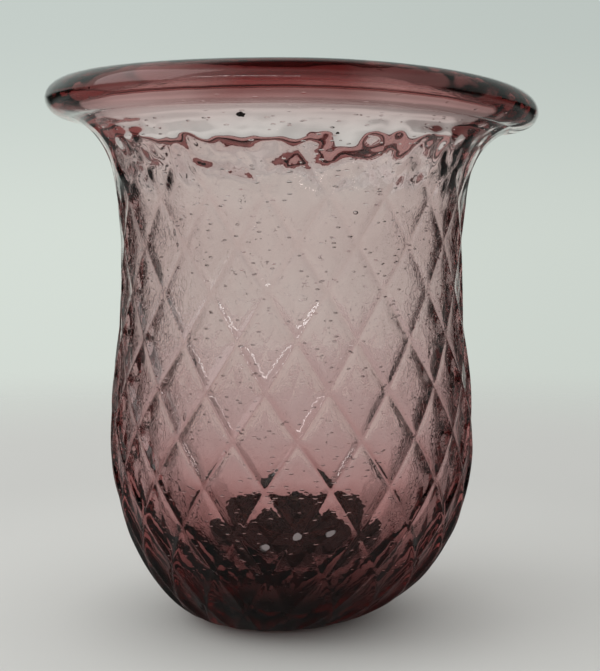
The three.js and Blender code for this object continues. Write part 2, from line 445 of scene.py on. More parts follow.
@dataclass(frozen=True)
class AmethystGlass:
    """Clear glass of a purple tint. What it takes from the light grows with its thickness."""

    index: float = 1.5
    density: float = 160.0
    tint: Colour = (0.6, 0.08, 0.07)
    # Painted shade: the surface colour darkens the upper half of the folded rim at the front.
    rim_shade_colour: Colour = (0.24, 0.03, 0.03)
    fold_height: float = 89.6 * MM
    rim_radius: float = 42 * MM
    rim_droop: float = 2.05 * MM
    fold_edge: Band = (-0.5 * MM, 0.4 * MM)
    fold_sway: float = 14 * MM
    fold_left: Band = (-18 * MM, 2 * MM)
    fold_right: Ramp = (16 * MM, 7 * MM, 0.3, 1)
    fold_front: Band = (-12 * MM, -24 * MM)
    wave_depth: float = 2.3 * MM
    wave_scale: float = 150
    body_waves: float = 0.055
    neck_foot: Band = (70 * MM, 80 * MM)
    neck_top: Band = (86.5 * MM, 82.5 * MM)
    lump_depth: float = 0.06 * MM
    lump_scale: float = 480
    lumps_end: Band = (82 * MM, 74 * MM)
    seed_depth: float = 0.1 * MM
    seed_scale: float = 420
    seed_size: float = 0.2
    seed_stretch: float = 3.5
    seeds_end: Band = (88 * MM, 86 * MM)
    empty_places: float = 0.5
    chill_depth: float = 0.03 * MM
    chill_scale: float = 900
    chill_line: float = 0.035
    chill_from: Band = (22 * MM, 32 * MM)
    chill_until: Band = (78 * MM, 66 * MM)
    chill_sides: Band = (10.2 * MM, 20.4 * MM)
    chill_patches: Band = (0.47, 0.56)

    def material(self) -> Material:
        """Mixes the glass.

        Returns:
            The finish, with soft waves, lumps, chill marks, seeds and painted shade on the folded rim.
        """
        desk = Bench("amethyst_glass")
        absorb = desk.node("VolumeAbsorption")
        absorb.inputs["Color"].default_value = (*self.tint, 1)
        absorb.inputs["Density"].default_value = self.density
        desk.tree.links.new(absorb.outputs[0], desk.output.inputs["Volume"])
        bent = desk.bump(self.waves(desk), self.wave_depth)
        bent = desk.bump(self.lumps(desk), self.lump_depth, bent)
        bent = desk.bump(self.chill_marks(desk), self.chill_depth, bent)
        bent = desk.bump(self.seeds(desk), self.seed_depth, bent)
        return desk.surface(
            Base_Color=self.painted_rim_shade(desk),
            Roughness=0.0,
            IOR=self.index,
            Transmission_Weight=1.0,
            Normal=bent,
        )

    def waves(self, desk: Bench) -> NodeSocket:
        """The soft waves of blown glass.

        Args:
            desk: The material's bench.

        Returns:
            Their height, greatest in the neck, where the tools worked it.
        """
        _, _, z = desk.axes()
        neck = desk.product(desk.ramp(z, *self.neck_foot), desk.ramp(z, *self.neck_top))
        return desk.product(desk.grain(self.wave_scale, 1), desk.ramp(neck, 0, 1, self.body_waves, 1))

    def lumps(self, desk: Bench) -> NodeSocket:
        """The height of the small lumps that the cold mould left in the body."""
        _, _, z = desk.axes()
        return desk.product(desk.grain(self.lump_scale, 2, 0.6), desk.ramp(z, *self.lumps_end))

    def seeds(self, desk: Bench) -> NodeSocket:
        """The small flat bubbles under the surface.

        Args:
            desk: The material's bench.

        Returns:
            Their height, 0 in the places that stay empty.
        """
        place = desk.stretched(Vector((1, 1, self.seed_stretch)))
        cells = desk.feed(desk.node("TexVoronoi"), Vector=place, Scale=self.seed_scale)
        shade = desk.feed(desk.node("SeparateColor"), Color=cells.outputs["Color"]).outputs[0]
        dots = desk.ramp(cells.outputs["Distance"], self.seed_size, 0.4 * self.seed_size)
        _, _, z = desk.axes()
        dots = desk.product(dots, desk.ramp(z, *self.seeds_end))
        return desk.product(dots, desk.math("GREATER_THAN", shade, self.empty_places))

    def chill_marks(self, desk: Bench) -> NodeSocket:
        """The fine wrinkles where the mould chilled the glass.

        Args:
            desk: The material's bench.

        Returns:
            Their height, in patches on both sides of the cup.
        """
        lines = desk.grain(self.chill_scale, 1, 0.6, desk.stretched(Vector((1, 1, 0.6))))
        crease = desk.ramp(desk.math("ABSOLUTE", desk.math("SUBTRACT", lines, 0.5)), self.chill_line, 0)
        x, _, z = desk.axes()
        sides = desk.ramp(desk.math("ABSOLUTE", x), *self.chill_sides)
        body = desk.product(desk.ramp(z, *self.chill_from), desk.ramp(z, *self.chill_until))
        patches = desk.product(desk.ramp(desk.grain(140, 1), *self.chill_patches), body)
        return desk.product(crease, sides, patches)

    def painted_rim_shade(self, desk: Bench) -> NodeSocket:
        """The colour at the surface.

        Args:
            desk: The material's bench.

        Returns:
            White, but darkened by painted shade in the upper half of the folded rim at the front.
        """
        x, y, z = desk.axes()
        right = desk.math("MAXIMUM", desk.math("DIVIDE", x, self.rim_radius), 0)
        level = desk.math("ADD", z, desk.product(desk.math("POWER", right, 2), self.rim_droop))
        low, high = self.fold_edge
        upper = desk.ramp(level, self.fold_height + low, self.fold_height + high)
        uneven = desk.math("ADD", x, desk.product(desk.grain(90, 2), self.fold_sway))
        middle = desk.product(desk.ramp(uneven, *self.fold_left), desk.ramp(x, *self.fold_right))
        share = desk.product(upper, middle, desk.ramp(y, *self.fold_front))
        # Painted shade: the rim's colour goes dark where the share is high.
        return desk.blend(share, (1, 1, 1), self.rim_shade_colour)


@dataclass(frozen=True)
class CrustOrPaintedReflection:
    """A dull grainy crust in the glass, or a pale spot on it that is a painted reflection."""

    name: str
    colour: Colour
    roughness: float
    grain_scale: float
    grain_depth: float

    def material(self) -> Material:
        """Mixes the crust.

        Returns:
            The finish.
        """
        desk = Bench(self.name)
        rough = desk.bump(desk.grain(self.grain_scale), self.grain_depth)
        return desk.surface(Base_Color=(*self.colour, 1), Roughness=self.roughness, Normal=rough)


IRON_SCALE = CrustOrPaintedReflection("iron_scale", (0.018, 0.013, 0.008), 0.8, 4000, 0.1 * MM)
# Painted reflection: pale flat spots on the outside of the glass that stand in for reflected lights.
PAINTED_REFLECTION_SPOT = CrustOrPaintedReflection("painted_reflection_spot", (0.22, 0.185, 0.185), 0.9, 3000, 0.03 * MM)


@dataclass(frozen=True)
class OldCork:
    """Cork that oil and soot have darkened, with pores and lenticels."""

    pale: Colour = (0.05, 0.014, 0.011)
    dark: Colour = (0.022, 0.009, 0.007)

    def material(self) -> Material:
        """Mixes the cork.

        Returns:
            The finish.
        """
        desk = Bench("old_cork")
        cells = desk.feed(desk.node("TexVoronoi"), Vector=desk.place, Scale=900.0)
        pores = desk.ramp(desk.grain(700, 5, 0.7), 0.56, 0.66)
        colour = desk.blend(desk.grain(350, 4, 0.7), self.dark, self.pale)
        colour = desk.blend(pores, colour, tuple(c * 0.3 for c in self.dark))
        relief = desk.math("SUBTRACT", desk.product(cells.outputs["Distance"], 0.4), pores)
        return desk.surface(
            Base_Color=colour,
            Roughness=0.9,
            Specular_IOR_Level=0.1,
            Normal=desk.bump(relief, 0.25 * MM),
        )


@dataclass(frozen=True)
class HeatedTin:
    """Tinplate that a flame has dulled, with blue and straw stains and a little rust."""

    bright: Colour = (0.1, 0.042, 0.034)
    stained: Colour = (0.05, 0.02, 0.016)
    rust: Colour = (0.08, 0.022, 0.012)

    def material(self) -> Material:
        """Mixes the tinplate.

        Returns:
            The finish.
        """
        desk = Bench("heated_tin")
        stain = desk.ramp(desk.grain(220, 4, 0.6), 0.4, 0.62)
        spots = desk.ramp(desk.grain(900, 5, 0.7), 0.62, 0.7)
        colour = desk.blend(stain, self.bright, self.stained)
        colour = desk.blend(spots, colour, self.rust)
        scratches = desk.grain(2600, 2, 0.5, desk.stretched(Vector((1, 0.06, 1))))
        return desk.surface(
            Base_Color=colour,
            Metallic=desk.ramp(spots, 0, 1, 1, 0.1),
            Roughness=desk.ramp(stain, 0, 1, 0.45, 0.65),
            Specular_Tint=(*self.bright, 1),
            Normal=desk.bump(desk.math("ADD", scratches, spots), 0.02 * MM),
        )


@dataclass(frozen=True)
class BurntCotton:
    """Cotton wick, soaked below and charred at its tip."""

    soaked: Colour = (0.2, 0.15, 0.09)
    charred: Colour = (0.012, 0.01, 0.009)
    char_from: float = 17.6 * MM
    char_full: float = 18.4 * MM

    def material(self) -> Material:
        """Mixes the cotton.

        Returns:
            The finish.
        """
        desk = Bench("burnt_cotton")
        _, _, z = desk.axes()
        char = desk.ramp(z, self.char_from, self.char_full)
        fibres = desk.grain(5200, 3, 0.6, desk.stretched(Vector((1, 1, 0.3))))
        colour = desk.blend(char, self.soaked, self.charred)
        colour = desk.blend(desk.product(fibres, 0.5), colour, self.charred)
        return desk.surface(
            Base_Color=colour,
            Roughness=desk.ramp(char, 0, 1, 0.85, 1.0),
            Normal=desk.bump(fibres, 0.12 * MM),
        )


@dataclass(frozen=True)
class Quilting:
    """The diamonds pressed into the outside: narrow raised ribs that cross, with dished panels between."""

    around: int = 20
    height: float = 15.05 * MM
    rib_height: float = 0.58 * MM
    side_rib_height: float = 0.8 * MM
    rib_half_width: float = 0.78 * MM
    side_rib_half_width: float = 1.3 * MM
    rounding: float = 0.14
    panel_depth: float = 0.32 * MM
    side_panel_depth: float = 0.1 * MM
    low_wear: float = 0.55
    gather: float = 0.6
    turn: float = math.radians(2)
    sway_size: float = 26 * MM
    sway: Band = (0.05, 0.04)
    side_band: Band = (0.55, 0.85)
    low_band: Band = (34 * MM, 24 * MM)
    crossing: float = 35.5 * MM
    stretch: float = 0.5
    stretch_end: float = 30 * MM
    start: float = 3 * MM
    full_until: float = 25 * MM
    low_from: float = 70 * MM
    low_share: float = 0.35
    end: float = 84 * MM
    back_share: float = 0.4
    back_from: float = 0.7

    def relief(self, height: float, back: float) -> float:
        """The share of the full relief: it falls towards the neck and towards the back of the cup.

        Args:
            height: The height of the place.
            back: How far to the back it lies, from -1 to 1.

        Returns:
            The share.
        """
        fall = 1 - (1 - self.low_share) * smooth(self.full_until, self.low_from, height)
        fall *= 1 - (1 - self.back_share) * smooth(0, self.back_from, back)
        return smooth(0, self.start, height) * fall * smooth(self.end, self.low_from, height)

    def rows(self, line: Sequence[Vector]) -> list[float]:
        """How many diamonds up each point of the outside lies. They are taller near the base.

        Args:
            line: The outside in equal steps, from the base up.

        Returns:
            The row of each point, whole where ribs cross over the first rib.
        """
        rows = [0.0]
        for number, (low, high) in enumerate(zip(line, line[1:])):
            step = (high - low).length
            share = smooth(0, self.stretch_end, number * step)
            rows.append(rows[-1] + between(self.stretch, 1, share) * step / self.height)
        first = next(row for row, point in zip(rows, line) if point.y > self.crossing)
        return [row - first + math.ceil(first) for row in rows]

    def gathered(self, across: float, up: float, share: float) -> tuple[float, float]:
        """A place in the quilting, drawn towards the nearest ribs so that they get most of the vertices.

        Args:
            across: How many diamonds round from the first rib.
            up: Its row.
            share: How much of the pull to use.

        Returns:
            The place after the pull.
        """
        pull = self.gather * share / math.tau
        rising, falling = across + up, across - up
        rising -= pull * math.sin(math.tau * rising)
        falling -= pull * math.sin(math.tau * falling)
        return (rising + falling) / 2, (rising - falling) / 2

    def depth(self, across: float, up: float, radius: float, side: float, low: float) -> float:
        """How far the outside lies under the tops of the ribs at a place in the quilting.

        Args:
            across: How many diamonds round from the first rib.
            up: Its row.
            radius: How far from the axis the place lies.
            side: 0 at the front, where the mould was worn, and 1 at the sides.
            low: 1 near the base and 0 higher up.

        Returns:
            The depth.
        """
        width = math.tau * radius / self.around
        half_width = between(self.rib_half_width, self.side_rib_half_width, side)
        rib_height = between(self.rib_height * (1 - self.low_wear * low), self.side_rib_height, side)
        panel_depth = between(self.panel_depth, self.side_panel_depth, side)
        lean = width * self.height / math.hypot(width, self.height)
        gap = 1.0
        for phase in (across + up, across - up):
            away = abs(phase - round(phase)) * lean / half_width
            flank = 1 - (math.hypot(away, self.rounding) - self.rounding)
            gap *= 1 - (flank + math.hypot(flank, self.rounding)) / 2
        panel = (math.sin(math.pi * (across + up)) * math.sin(math.pi * (across - up))) ** 2
        return rib_height * gap + panel_depth * panel


@dataclass(frozen=True)
class Flaw:
    """A bubble or speck in the wall, or a painted reflection: where it lies, and half its width and half its
    height.
    """

    degrees: float
    height: float
    width: float
    rise: float


@dataclass
class GlassCup:
    """The one-piece blown cup: rounded base, quilted body, waist, flared neck and folded rim."""

    height: float = 92.99 * MM
    rim_radius: float = 41.9 * MM
    base_flat_radius: float = 9 * MM
    belly_radius: float = 31.6 * MM
    belly_height: float = 31.5 * MM
    waist_radius: float = 29.5 * MM
    waist_height: float = 61.5 * MM
    roll_half_width: float = 4.4 * MM
    roll_half_height: float = 3.3 * MM
    waist_wall: float = 1.9 * MM
    belly_wall: float = 2.8 * MM
    base_thickness: float = 7 * MM
    inner_flat_radius: float = 5 * MM
    inside_rise: float = 1.5 * MM
    dimple_radius: float = 5 * MM
    dimple_depth: float = 0.9 * MM
    shape_pull: float = 0.42
    neck_pull: float = 0.76
    rim_handle: Vector = at(4.6 * MM, 2 * MM)
    lip_handle: Vector = at(3.6 * MM, 3.4 * MM)
    mouth_handle: float = 19 * MM
    wave_depth: float = 0.2 * MM
    wave_level: float = 0.6
    wave_size: float = 11 * MM
    ripple_size: float = 4.5 * MM
    ripple_share: float = 0.4
    neck_foot: Band = (66 * MM, 78 * MM)
    neck_top: Band = (88 * MM, 85 * MM)
    droop_band: Band = (66 * MM, 90 * MM)
    tilt: float = 0.23 * MM
    droop: float = 2.05 * MM
    base_shift: float = 3.5 * MM
    shift_fade: float = 5.4 * MM
    steps_per_diamond: int = 16
    curve_steps: int = 60
    roll_rows: int = 20
    inside_rows: int = 76
    line_steps: int = 600
    quilting: Quilting = Quilting()
    glass: AmethystGlass = AmethystGlass()
    small_bubbles: int = 150
    bubble_width: Band = (0.1 * MM, 0.26 * MM)
    bubble_depth: float = 1.15 * MM
    bubble_reach: float = 47 * MM
    neck_bubbles: Band = (66 * MM, 86 * MM)
    large_bubbles: tuple[Flaw, ...] = (
        Flaw(-39, 67.5 * MM, 0.28 * MM, 0.62 * MM),
        Flaw(-38, 65.5 * MM, 0.22 * MM, 0.4 * MM),
        Flaw(20, 70.5 * MM, 0.45 * MM, 0.3 * MM),
        Flaw(-33, 38.5 * MM, 0.35 * MM, 0.75 * MM),
        Flaw(-38, 62 * MM, 0.4 * MM, 0.22 * MM),
        Flaw(3, 78 * MM, 0.3 * MM, 0.22 * MM),
    )
    stones: tuple[Flaw, ...] = (
        Flaw(-12.4, 85 * MM, 0.9 * MM, 0.55 * MM),
        Flaw(12.6, 82.6 * MM, 0.45 * MM, 0.28 * MM),
    )
    stone_depth: float = 1.0 * MM
    # Painted reflection: the places and sizes of the pale flat spots on the outside.
    reflection_spots: tuple[Flaw, ...] = (
        Flaw(-8.1, 18.7 * MM, 0.85 * MM, 0.62 * MM),
        Flaw(1.8, 20.7 * MM, 0.8 * MM, 0.58 * MM),
        Flaw(11.9, 21 * MM, 0.9 * MM, 0.5 * MM),
    )
    reflection_spot_thickness: float = 0.03 * MM
    reflection_spot_turn: float = 0.5

    def outside(self) -> list[Vector]:
        """Draws the outside wall.

        Returns:
            Its profile, from the edge of the standing ring up to the underside of the rim.
        """
        belly = at(self.belly_radius, self.belly_height)
        waist = at(self.waist_radius, self.waist_height)
        spread = at(belly.x - self.base_flat_radius, belly.y)
        bowl = oval(at(self.base_flat_radius, belly.y), spread, -90, 0, self.curve_steps)
        reach = at(0, (self.waist_height - self.belly_height) * self.shape_pull)
        side = blend_curve(belly, belly + reach, waist - reach, waist, self.curve_steps)
        top = at(self.rim_radius - self.roll_half_width, self.height - 2 * self.roll_half_height)
        neck = top - waist
        leave, arrive = waist + at(0, neck.y * self.neck_pull), top - self.rim_handle
        flare = blend_curve(waist, leave, arrive, top, self.curve_steps)
        return joined(bowl, side, flare)

    def roll(self) -> list[Vector]:
        """Draws the rim.

        Returns:
            Its profile, from its underside round the outer edge to its top.
        """
        half = at(self.roll_half_width, self.roll_half_height)
        middle = at(self.rim_radius, self.height) - half
        return oval(middle, half, -90, 90, 24)

    def inside(self) -> list[Vector]:
        """Draws the inside.

        Returns:
            Its profile, from the top of the rim down to the middle of the inner flat.
        """
        lip = at(self.rim_radius - self.roll_half_width, self.height)
        waist = at(self.waist_radius - self.waist_wall, self.waist_height + self.inside_rise)
        belly = at(self.belly_radius - self.belly_wall, self.belly_height + self.inside_rise)
        arrive = waist + at(0, self.mouth_handle)
        mouth = blend_curve(lip, lip - self.lip_handle, arrive, waist, self.curve_steps)
        reach = at(0, (waist.y - belly.y) * self.shape_pull)
        side = blend_curve(waist, waist - reach, belly + reach, belly, self.curve_steps)
        spread = at(belly.x - self.inner_flat_radius, belly.y - self.base_thickness)
        bowl = oval(at(self.inner_flat_radius, belly.y), spread, 0, -90, self.curve_steps)
        return joined(mouth, side, bowl, [at(0, self.base_thickness)])

    def dimple(self) -> list[Vector]:
        """The hollow in the base, from its middle out to the standing ring."""
        half = at(self.dimple_radius, self.dimple_depth)
        return joined(oval(at(0, 0), half, 90, 0, 8), [at(self.base_flat_radius, 0)])

    def blown(self, line: Sequence[Vector], rows: Sequence[float]) -> BMesh:
        """The smooth cup, whose vertices keep their stretch of wall and, outside, their row of diamonds.

        Args:
            line: The outside in equal steps.
            rows: The row of each of its points.

        Returns:
            The mesh.
        """
        bm = bmesh.new()
        wall = bm.verts.layers.int.new("wall")
        up = bm.verts.layers.float.new("up")
        steps = self.steps_per_diamond
        marks = [n / steps for n in range(math.floor(rows[0] * steps) + 1, math.ceil(rows[-1] * steps))]
        marks = [rows[0], *marks, rows[-1]]
        section: list[BMVert] = []

        def add(points: Sequence[Vector], stretch: Wall, places: Iterable[float] = repeat(0.0)) -> None:
            """Adds a stretch of the section, which starts where the last one ended."""
            for point, place in zip(points, places):
                vertex = bm.verts.new((0, -point.x, point.y))
                vertex[wall], vertex[up] = stretch, place
                section.append(vertex)

        add(self.dimple()[:-1], Wall.DIMPLE)
        add([self.at_row(line, rows, mark)[0] for mark in marks], Wall.OUTSIDE, marks)
        add(evenly(self.roll(), self.roll_rows)[1:], Wall.ROLL)
        add(evenly(self.inside(), self.inside_rows)[1:], Wall.INSIDE)
        lathe(bm, section, self.quilting.around * steps)
        bmesh.ops.recalc_face_normals(bm, faces=bm.faces)
        bm.normal_update()
        return bm

    def at_row(self, line: Sequence[Vector], rows: Sequence[float], row: float) -> tuple[Vector, Vector]:
        """Finds a place on the outside by its row.

        Args:
            line: The outside in equal steps.
            rows: The row of each of its points.
            row: The row to find.

        Returns:
            The point there, and the direction that points out of the glass.
        """
        index = min(max(bisect(rows, row) - 1, 0), len(rows) - 2)
        share = min(max((row - rows[index]) / (rows[index + 1] - rows[index]), 0), 1)
        along = (line[index + 1] - line[index]).normalized()
        return line[index].lerp(line[index + 1], share), at(along.y, -along.x)

    def press(self, bm: BMesh, line: Sequence[Vector], rows: Sequence[float]) -> None:
        """Presses the quilting into the outside, and splits its faces along the ribs.

        Args:
            bm: The smooth cup.
            line: The outside in equal steps.
            rows: The row of each of its points.
        """
        wall = bm.verts.layers.int["wall"]
        up = bm.verts.layers.float["up"]
        deep = bm.verts.layers.float.new("deep")
        quilting = self.quilting
        for vertex in bm.verts:
            if vertex[wall] != Wall.OUTSIDE:
                continue
            place, radius = vertex.co, vertex.co.xy.length
            share = quilting.relief(place.z, place.y / radius)
            across = math.atan2(place.x, -place.y) / math.tau * quilting.around
            across, row = quilting.gathered(across, vertex[up], min(1, 3 * share))
            point, out = self.at_row(line, rows, row)
            side = smooth(*quilting.side_band, abs(place.x) / radius)
            low = smooth(*quilting.low_band, point.y)
            sway = noise.noise_vector(place / quilting.sway_size)
            swayed = across + quilting.sway[0] * sway.x, row + quilting.sway[1] * sway.y
            vertex[deep] = quilting.depth(*swayed, point.x, side, low) * share
            vertex[deep] += self.waves(place)
            point -= out * vertex[deep]
            turn = across / quilting.around * math.tau + quilting.turn
            vertex.co = Vector((math.sin(turn) * point.x, -math.cos(turn) * point.x, point.y))
        for face in list(bm.faces):
            if len(face.verts) != 4 or any(v[wall] != Wall.OUTSIDE for v in face.verts):
                continue
            a, b, c, d = face.verts
            first = a[deep] + c[deep] < b[deep] + d[deep]
            bmesh.utils.face_split(face, a if first else b, c if first else d)

    def waves(self, place: Vector) -> float:
        """The soft waves that the tools left in the neck.

        Args:
            place: A place on the outside.

        Returns:
            Their depth there.
        """
        strength = smooth(*self.neck_foot, place.z) * smooth(*self.neck_top, place.z)
        ripple = self.ripple_share * noise.noise(place / self.ripple_size)
        return self.wave_depth * strength * (self.wave_level + noise.noise(place / self.wave_size) + ripple)

    def in_wall(self, line: Sequence[Vector], degrees: float, height: float, depth: float) -> Matrix:
        """The frame of a place inside the wall, with X round the cup, Y outwards and Z up.

        Args:
            line: The outside.
            degrees: How far round it lies, from the front to the right.
            height: How high it lies.
            depth: How far under the outside it lies.

        Returns:
            The frame.
        """
        point = next(p for p in line if p.y >= height)
        turn = Matrix.Rotation(math.radians(degrees), 4, "Z")
        return turn @ Matrix.Translation((0, depth - point.x, point.y)) @ Matrix.Rotation(math.pi, 4, "Z")

    def bubbles(self, bm: BMesh, line: Sequence[Vector]) -> None:
        """Adds the larger bubbles, drawn out along the wall, as hollows inside the glass.

        Args:
            bm: The cup.
            line: The outside.
        """
        chance = Random(12)
        bubbles = list(self.large_bubbles)
        for _ in range(self.small_bubbles):
            width = chance.uniform(*self.bubble_width)
            height = self.waist_height + chance.uniform(-1, 0.52) ** 3 * self.bubble_reach
            height = chance.choice((height, chance.uniform(*self.neck_bubbles)))
            bubbles.append(Flaw(chance.uniform(-180, 180), height, width, 0.6 * width))
        for bubble in bubbles:
            place = self.in_wall(line, bubble.degrees, bubble.height, self.bubble_depth)
            size = Matrix.Diagonal((bubble.width, 0.5 * min(bubble.width, bubble.rise), bubble.rise, 1))
            made = bmesh.ops.create_icosphere(bm, subdivisions=2, radius=1, matrix=place @ size)
            faces = {face for vertex in made["verts"] for face in vertex.link_faces}
            bmesh.ops.reverse_faces(bm, faces=list(faces))

    def specks(self, line: Sequence[Vector]) -> None:
        """Makes the specks of scale that were caught in the glass.

        Args:
            line: The outside.
        """
        bm = bmesh.new()
        for stone in self.stones:
            place = self.in_wall(line, stone.degrees, stone.height, self.stone_depth)
            size = Matrix.Diagonal((stone.width, 0.3 * stone.width, stone.rise, 1))
            made = bmesh.ops.create_icosphere(bm, subdivisions=3, radius=1, matrix=place @ size)
            for vertex in made["verts"]:
                away = vertex.co - place.translation
                vertex.co = place.translation + away * (0.75 + 0.5 * noise.noise(vertex.co / (0.3 * MM)))
        finished(bm, "caught_specks", IRON_SCALE.material(), Body.GLASS, Slot.GLASS)

    def spots(self, cup: BMesh) -> None:
        """Makes the pale spots on the outside, which are painted reflections.

        Args:
            cup: The worked cup.
        """
        skin = BVHTree.FromBMesh(cup)
        bm = bmesh.new()
        for spot in self.reflection_spots:
            inward = Matrix.Rotation(math.radians(spot.degrees), 3, "Z") @ Vector((0, 1, 0))
            start = Vector((0, 0, spot.height)) - inward * 2 * self.belly_radius
            place, normal, _, _ = skin.ray_cast(start, inward)
            flat = Matrix.Translation(place) @ normal.to_track_quat("Y", "Z").to_matrix().to_4x4()
            size = Matrix.Diagonal((spot.width, self.reflection_spot_thickness, spot.rise, 1))
            matrix = flat @ Matrix.Rotation(self.reflection_spot_turn, 4, "Y") @ size
            made = bmesh.ops.create_icosphere(bm, subdivisions=3, radius=1, matrix=matrix)
            for vertex in made["verts"]:
                vertex.co += (vertex.co - place) * 0.3 * noise.noise(vertex.co / (0.5 * MM))
        finished(bm, "painted_reflection_spots", PAINTED_REFLECTION_SPOT.material(), Body.GLASS, Slot.GLASS)

    def work(self, bm: BMesh) -> None:
        """Gives the cup the small faults of hand work, which all stay inside its true size."""
        wall = bm.verts.layers.int["wall"]
        for vertex in bm.verts:
            place = vertex.co
            high = smooth(*self.droop_band, place.z)
            share = place.x / self.rim_radius
            drop = self.tilt * (share + 1) + self.droop * max(0, share) ** 2
            if vertex[wall] in (Wall.DIMPLE, Wall.OUTSIDE):
                place.x -= self.base_shift * math.exp(-place.z / self.shift_fade)
            place.z -= drop * high

    def build(self) -> None:
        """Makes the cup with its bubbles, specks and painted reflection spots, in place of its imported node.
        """
        line = evenly(self.outside(), self.line_steps)
        rows = self.quilting.rows(line)
        bm = self.blown(line, rows)
        self.press(bm, line, rows)
        self.work(bm)
        self.spots(bm)
        self.bubbles(bm, line)
        self.specks(line)
        finished(bm, "blown_glass_cup", self.glass.material(), Body.GLASS, Slot.GLASS, "glass_cup")


@dataclass
class FloatLight:
    """The floating light: a cork between two tinplate discs, and a tube through them that holds the wick."""

    cork_bevel: float = 0.7 * MM
    cork_chips: float = 0.28 * MM
    hole_gap: float = 0.25 * MM
    tube_radius: float = 2.4 * MM
    tube_wall: float = 0.45 * MM
    lip_width: float = 1 * MM
    bead: float = 0.16 * MM
    burr: float = 0.12 * MM
    sheet: float = 0.28 * MM
    ring_radius: float = 7.6 * MM
    ring_half_width: float = 1.1 * MM
    seam_width: float = 1.3 * MM
    seam_height: float = 0.12 * MM
    strands: int = 3
    twists: float = 3.2
    groove: float = 0.3 * MM
    fibre_depth: float = 0.06 * MM
    ragged_depth: float = 0.35 * MM
    burnt_off: float = 0.5 * MM
    cork: OldCork = OldCork()
    tin: HeatedTin = HeatedTin()
    cotton: BurntCotton = BurntCotton()

    def build(self) -> None:
        """Makes the five pieces of the float and its wick."""
        tin = self.tin.material()
        self.cork_disc()
        self.plate(tin)
        self.washer(tin)
        self.tube(tin)
        self.wick()

    def hole(self) -> float:
        """The radius of the hole that the tube passes through."""
        return self.tube_radius + self.hole_gap

    def cork_disc(self) -> None:
        """Makes the cork, with worn edges and chips."""
        low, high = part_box("cork_float")
        radius, bevel, hole = high.x, self.cork_bevel, self.hole()
        foot, top = low.z, high.z
        lower = oval(at(radius - bevel, foot + bevel), at(bevel, bevel), -90, 0, 6)
        upper = oval(at(radius - bevel, top - bevel), at(bevel, bevel), 0, 90, 6)
        outline = joined([at(hole, foot)], lower, upper, [at(hole, top), at(hole, foot)])
        bm = turned(evenly(outline, 84), 120)
        bm.normal_update()
        inward = {vertex: vertex.normal.copy() for vertex in bm.verts}
        for vertex, normal in inward.items():
            place = vertex.co
            cells = noise.noise(place / (1.6 * MM)) + 0.5 * noise.noise(place / (0.7 * MM))
            worn = 0.35 + 0.65 * smooth(radius - 2 * bevel, radius, place.xy.length)
            pull = self.cork_chips * worn * smooth(0.05, 0.75, cells)
            if place.xy.length > hole + 0.2 * MM:
                vertex.co -= normal * pull
        finished(bm, "worn_cork_disc", self.cork.material(), Body.BURNER, Slot.CORK, "cork_float")

    def plate(self, tin: Material) -> None:
        """Makes the tinplate on the cork, with a pressed ring and a rolled edge.

        Args:
            tin: Its finish.
        """
        low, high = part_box("float_plate")
        half_roll = (high.z - low.z) / 2
        edge = high.x - half_roll
        reach = [self.hole() + (edge - self.hole()) * step / 60 for step in range(61)]
        rise = (high.z - low.z - self.sheet) * 0.9
        top = [at(r, low.z + self.sheet + rise * self.ring(r)) for r in reach]
        under = [at(r, low.z + rise * self.ring(r)) for r in reach]
        roll = oval(at(edge, low.z + half_roll), at(half_roll, half_roll), -90, 90, 10)
        outline = joined(under, roll, top[::-1], under[:1])
        finished(turned(outline, 144), "pressed_plate", tin, Body.BURNER, Slot.TIN, "float_plate")

    def ring(self, radius: float) -> float:
        """How much of its rise the pressed ring has at a radius."""
        return smooth(self.ring_half_width, 0.3 * self.ring_half_width, abs(radius - self.ring_radius))

    def washer(self, tin: Material) -> None:
        """Makes the tinplate washer under the cork.

        Args:
            tin: Its finish.
        """
        low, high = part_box("float_washer")
        burr = self.burr
        outline = joined(
            [at(self.hole(), low.z)],
            oval(at(high.x - burr, low.z + burr), at(burr, burr), -90, 0, 4),
            oval(at(high.x - burr, high.z - burr), at(burr, burr), 0, 90, 4),
            [at(self.hole(), high.z), at(self.hole(), low.z)],
        )
        finished(turned(outline, 96), "lower_washer", tin, Body.BURNER, Slot.TIN, "float_washer")

    def tube(self, tin: Material) -> None:
        """Makes the wick tube, with a spread lip, a flange, a beaded mouth and a lap seam.

        Args:
            tin: Its finish.
        """
        low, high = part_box("wick_tube")
        plate_top, washer_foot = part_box("float_plate")[1].z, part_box("float_washer")[0].z
        flange, lip, bore = high.x, self.tube_radius + self.lip_width, self.tube_radius - self.tube_wall
        sheet, bead, half_lip, half_turn = self.sheet, self.bead, (washer_foot - low.z) / 2, (-90, 90, 8)
        outline = joined(
            [at(bore, low.z), at(lip - bead, low.z)],
            oval(at(lip - bead, (low.z + washer_foot) / 2), at(bead, half_lip), *half_turn),
            [at(self.tube_radius, washer_foot), at(self.tube_radius, plate_top)],
            [at(flange - sheet / 2, plate_top)],
            oval(at(flange - sheet / 2, plate_top + sheet / 2), at(sheet, sheet) / 2, *half_turn),
            blend_curve(
                at(flange - 0.9 * MM, plate_top + sheet),
                at(self.tube_radius + 0.2 * MM, plate_top + sheet),
                at(self.tube_radius, plate_top + sheet + 0.1 * MM),
                at(self.tube_radius, plate_top + sheet + 0.6 * MM),
                8,
            ),
            [at(self.tube_radius, high.z - 2 * bead)],
            oval(at(self.tube_radius, high.z - bead), at(bead, bead), *half_turn),
            [at(bore, high.z), at(bore, low.z)],
        )
        bm = turned(outline, 64)
        self.seam(bm, plate_top + sheet, high.z - 2 * bead)
        finished(bm, "seamed_wick_tube", tin, Body.BURNER, Slot.TIN, "wick_tube")

